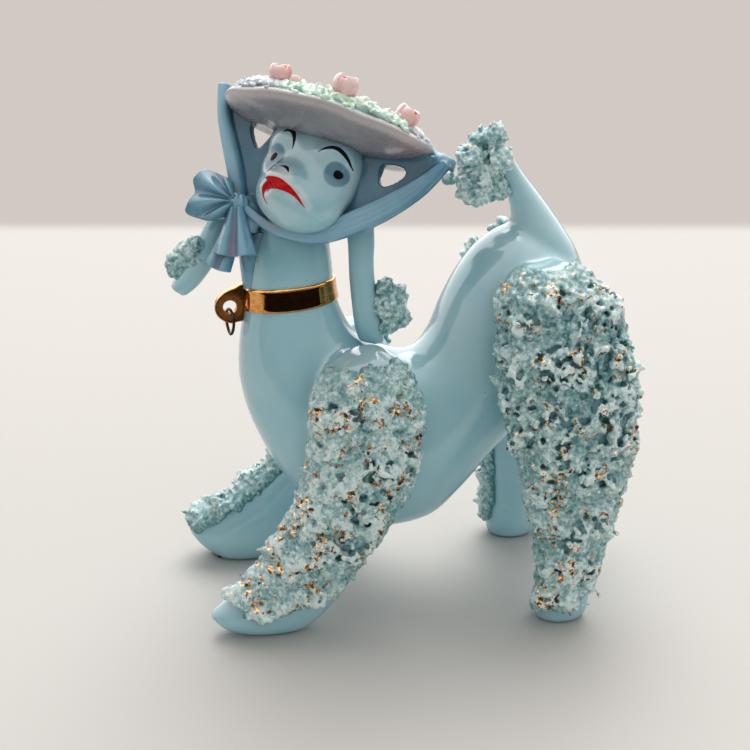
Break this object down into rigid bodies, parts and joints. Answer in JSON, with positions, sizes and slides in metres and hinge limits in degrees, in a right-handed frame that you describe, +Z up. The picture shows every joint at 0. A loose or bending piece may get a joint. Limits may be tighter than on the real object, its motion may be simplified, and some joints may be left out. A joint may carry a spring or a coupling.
{
  "type": "poodle figurine",
  "caption": "Glazed ceramic poodle with stretched forelegs and raised haunches, in a flowered sun hat tied by a bow, with crumbled clay fur trims, a gilt collar and a loose wire link.",
  "frame": {"origin": "on the table, under the middle of the figurine's box and of its four feet", "axes": "+Z up; the dog faces -X; its left side is -Y"},
  "size_m": [0.1093, 0.0657, 0.1315],
  "materials": {
    "glaze": "glossy pale aqua glaze over porcelain",
    "scarf_glaze": "glossy darker blue airbrushed glaze",
    "hat_glaze": "satin grey lilac glaze, pinkish at the rim",
    "rose_clay": "thin pink glaze on hand-formed petals",
    "leaf_clay": "mint green glaze on crumbled clay",
    "blossom_clay": "pale blue and lilac glaze on crumbled clay",
    "fur_clay": "aqua glaze over rough crumbled clay with gold flecks",
    "gold_lustre": "fired gold lustre over glaze, mirror bright",
    "dark_wire": "darkened brass jewellery wire"
  },
  "bodies": {
    "figurine": {"torso": "glaze", "head": "glaze", "left_foreleg": "glaze", "right_foreleg": "glaze", "left_hind_leg": "glaze", "right_hind_leg": "glaze", "tail": "glaze", "left_ear": "glaze", "right_ear": "glaze", "hat": "hat_glaze", "hat_ribbon": "scarf_glaze", "scarf_right": "scarf_glaze", "scarf_left": "scarf_glaze", "bow_knot": "scarf_glaze", "bow_loop": "scarf_glaze", "bow_tail": "scarf_glaze", "bow_tail_rear": "scarf_glaze", "ribbon_end": "scarf_glaze", "rose_right": "rose_clay", "rose_middle": "rose_clay", "rose_left": "rose_clay", "rose_bud": "rose_clay", "hat_leaves": "leaf_clay", "blossoms_right": "blossom_clay", "blossoms_left": "blossom_clay", "collar": "gold_lustre", "leash_lug": "gold_lustre", "left_foreleg_fur": "fur_clay", "right_foreleg_fur": "fur_clay", "left_hind_leg_fur": "fur_clay", "right_hind_leg_fur": "fur_clay", "left_ear_tuft": "fur_clay", "right_ear_tuft": "fur_clay", "tail_tuft": "fur_clay"},
    "ring": {"chain_ring": "dark_wire"}
  },
  "joints": [
    {"name": "ring_swing", "type": "hinge", "parent": "figurine", "child": "ring", "pos_m": [-0.0397, 0, 0.07345], "axis": [0, 1, 0], "range_deg": [-16, 165]}
  ]
}
